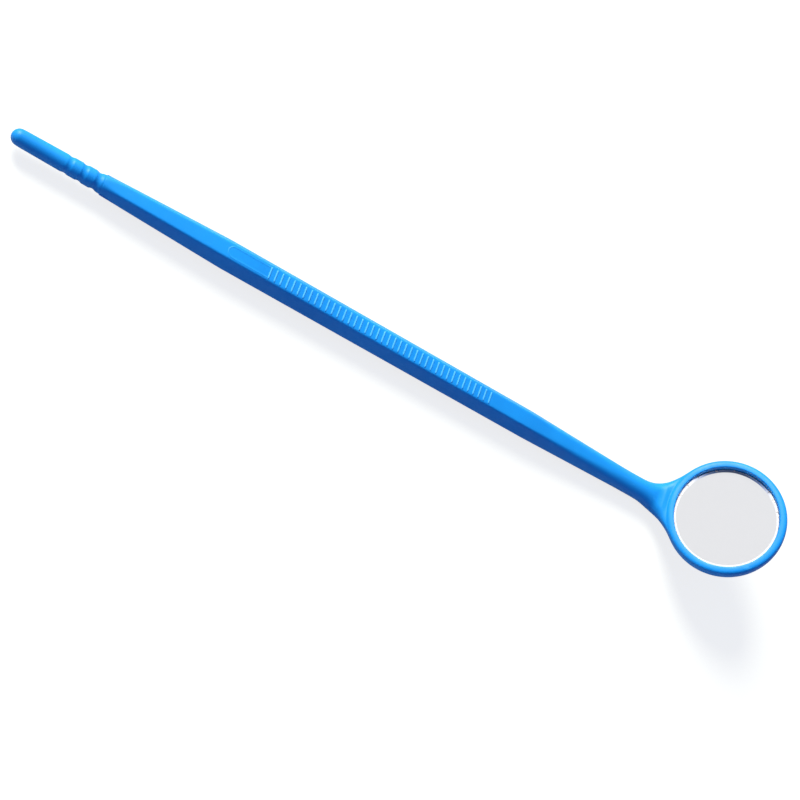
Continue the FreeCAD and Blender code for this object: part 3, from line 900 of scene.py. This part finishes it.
# down the corner between the two slanted sides, where the mould's halves met
def partingPath(side):
    corner = handle["edgeRadius"] * (1 - 1 / flatToCorner)
    points = []
    for start, end, flats, nextFlats in (
        (handle["tailLength"] + 0.3, gripStart, handle["shankFlats"], handle["gripFlats"]),
        (gripStart, gripEnd, handle["gripFlats"], handle["gripFlats"]),
    ):
        for k in range(12):
            half = mix(flats, nextFlats, k / 12) / 2
            out = half / flatToCorner + corner + parting["proud"] - parting["radius"]
            points.append(Vector((tailTip + mix(start, end, k / 12), side * out, gripHalf)))
    grip = gripHalf / flatToCorner + corner
    for k in range(12):
        share = k / 11
        out = mix(grip, handle["neckRadius"], share) + parting["proud"] - parting["radius"]
        z = mix(gripHalf, handle["neckRadius"], share)
        points.append(Vector((tailTip + mix(gripEnd, neckStart, share), side * out, z)))
    return points


partingLines = []
for side, label in ((1, "left"), (-1, "right")):
    line = runTree(bead, f"parting_line_{label}", pathMesh(f"partingPath{label}", partingPath(side)), {
        "Bead radius": parting["radius"] * mm,
        "Finish": plastic,
    })
    shadeSmooth(line)
    partingLines.append(line)
print("raised lines made")

for piece in (moulding, ribRow, panelLine, *partingLines):
    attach(piece, body)
    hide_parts("handle")

glassDisc = makeDisc("glass_disc", (
    (mirrorGlass["bevelRadius"], head["glassRecess"], 1),
    (mirrorGlass["radius"], head["glassRecess"] + mirrorGlass["bevelDepth"], 0),
    (mirrorGlass["radius"], mirrorGlass["back"], 0),
), mirrorGlass["points"], mirrorGlass["waver"])
glassDisc.data.materials.append(makeMirrorGlass())
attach(glassDisc, body)
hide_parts("mirror_glass")

silverLayer = makeDisc("silver_layer", (
    (silverCoat["edge"], silverCoat["top"], 1),
    (silverCoat["edge"], silverCoat["bottom"], 1),
), silverCoat["points"], silverCoat["waver"])
silverLayer.data.materials.append(makeSilver())
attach(silverLayer, body)
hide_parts("silver_coating")

for node, material in (
    ("backing_lacquer", makeMottled("lacquer", lacquer)),
    ("adhesive_disc", makeMottled("bondingPad", bondingPad)),
):
    slots = frame["nodes"][node].material_slots
    for slot in slots:
        slot.material = material
    if not slots:
        frame["nodes"][node].data.materials.append(material)
print("mirror stack finished")

# studio: pale floor and backdrop, one broad key from above and one side, weak blue fill
studio = {
    "floorSize": 4,
    "floorDrop": 0.02,
    "floorShade": 0.5,
    "floorSeen": 0.35,
    "floorGlow": 0.8,
    "floorColour": (1, 0.985, 0.94, 1),
    "floorMirrored": 0.2,
    "fillColour": (0.27, 0.48, 1, 1),
    "fillLow": 0.29,
    "fillHigh": 0.5,
    "fillAngles": (120, 0),
    "tentLow": 0.12,
    "tent": 1.45,
    "tentAngles": (114, 53),
    "cardPlace": (-0.602, 0.321, 0.729),
    "card": 1,
    "cardAngles": (15, 8),
    "darkPlace": (-0.551, -0.321, 0.77),
    "dark": 0.12,
    "darkAngles": (31, 24),
    "darkColour": (0.05, 0.3, 1, 1),
    "keyPlace": (-0.588, 0.72, 0.615),
    "keySize": 0.6,
    "keyPower": 22,
    "keyColour": (1, 1, 0.82),
}


def strongest(nodes, link, *values):
    total = values[0]
    for value in values[1:]:
        total = reckon(nodes, link, "MAXIMUM", total, value)
    return total


# whether a ray comes straight from the camera, and whether off a mirror or through glass
def rayKinds(nodes, link):
    path = nodes.new("ShaderNodeLightPath").outputs
    mirrored = strongest(nodes, link, path["Is Glossy Ray"], path["Is Transmission Ray"])
    return path["Is Camera Ray"], mirrored


def makeFloor():
    size = studio["floorSize"] / 2
    mesh = bpy.data.meshes.new("studio_floor")
    z = -studio["floorDrop"] * mm
    corners = [(-size, -size, z), (size, -size, z), (size, size, z), (-size, size, z)]
    mesh.from_pydata(corners, [], [(0, 1, 2, 3)])
    floor = addObject("studio_floor", mesh)
    material, nodes, link, shader, output = newMaterial("studioFloor")
    shade, seen = studio["floorShade"], studio["floorSeen"]
    shader.inputs["Roughness"].default_value = 1
    shader.inputs["Specular IOR Level"].default_value = 0
    straight, mirrored = rayKinds(nodes, link)
    base = tint(nodes, link, straight, (shade, shade, shade, 1), (seen, seen, seen, 1))
    link(base, shader.inputs["Base Color"])
    shader.inputs["Emission Color"].default_value = studio["floorColour"]
    glow = strongest(nodes, link, ramp(nodes, link, straight, 0, 1, 0, studio["floorGlow"]),
                     ramp(nodes, link, mirrored, 0, 1, 0, studio["floorMirrored"]))
    link(glow, shader.inputs["Emission Strength"])
    mesh.materials.append(material)


# white backdrop; as a light it is brighter on the key's side than on the other
def makeWorld():
    world = bpy.data.worlds.new("studioWorld")
    bpy.context.scene.world = world
    world.use_nodes = True
    nodes, link = world.node_tree.nodes, world.node_tree.links.new
    background = nodes["Background"]
    straight, mirrored = rayKinds(nodes, link)
    where = nodes.new("ShaderNodeTexCoord")

    # how nearly a ray runs towards a place: from bottom at the wide angle to top at the narrow
    def towards(place, angles, bottom=0, top=1):
        facing = nodes.new("ShaderNodeVectorMath")
        facing.operation = "DOT_PRODUCT"
        facing.inputs[1].default_value = Vector(place).normalized()
        link(where.outputs["Generated"], facing.inputs[0])
        wide, narrow = [math.cos(math.radians(angle)) for angle in angles]
        return ramp(nodes, link, facing.outputs["Value"], wide, narrow, bottom, top)

    def among(share, first, second):
        node = nodes.new("ShaderNodeMix")
        for socket, value in ((0, share), (2, first), (3, second)):
            feed(link, node.inputs[socket], value)
        return node.outputs[0]

    key, low, high = studio["keyPlace"], studio["fillLow"], studio["fillHigh"]
    light = towards(key, studio["fillAngles"], low, high)
    # what shines is a white tent, with a grey card and a dark opening in it
    tent = towards(key, studio["tentAngles"], studio["tentLow"], studio["tent"])
    tent = among(towards(studio["cardPlace"], studio["cardAngles"]), tent, studio["card"])
    shaded = towards(studio["darkPlace"], studio["darkAngles"])
    sheen = among(shaded, tent, studio["dark"])
    strength = strongest(nodes, link, among(mirrored, light, sheen), straight)
    link(strength, background.inputs["Strength"])
    seen = strongest(nodes, link, mirrored, straight)
    shine = tint(nodes, link, shaded, (1, 1, 1, 1), studio["darkColour"])
    shine = tint(nodes, link, straight, shine, (1, 1, 1, 1))
    link(tint(nodes, link, seen, studio["fillColour"], shine), background.inputs["Color"])


def makeKeyLamp():
    light = bpy.data.lights.new("keyLamp", "AREA")
    light.shape = "DISK"
    light.size = studio["keySize"]
    light.energy = studio["keyPower"]
    light.color = studio["keyColour"]
    lamp = addObject("keyLamp", light)
    lamp.location = studio["keyPlace"]
    lamp.rotation_euler = (-Vector(studio["keyPlace"])).to_track_quat("-Z", "Y").to_euler()
    lamp.visible_transmission = False  # else it burns out a strip of the mirror's bevel


makeFloor()
makeWorld()
makeKeyLamp()
print("studio made")

# the camera's place in millimetres, its axes and its lens
view = {
    "place": (-138.88, -123.05, 307.14),
    "right": (0.80302, 0.33098, 0.49559),
    "up": (-0.44481, 0.88632, 0.12880),
    "ahead": (0.39662, 0.32387, -0.85895),
    "lens": 86.13,
}
camera = addObject("camera", bpy.data.cameras.new("camera"))
camera.data.sensor_width = 36
camera.data.lens = view["lens"]
axes = Matrix((Vector(view["right"]), Vector(view["up"]), -Vector(view["ahead"]))).transposed()
camera.matrix_world = Matrix.Translation(Vector(view["place"]) * mm) @ axes.to_4x4()
camera.data.clip_start = 0.01
bpy.context.scene.camera = camera
bpy.context.scene.view_settings.view_transform = "Standard"

bpy.context.view_layer.update()
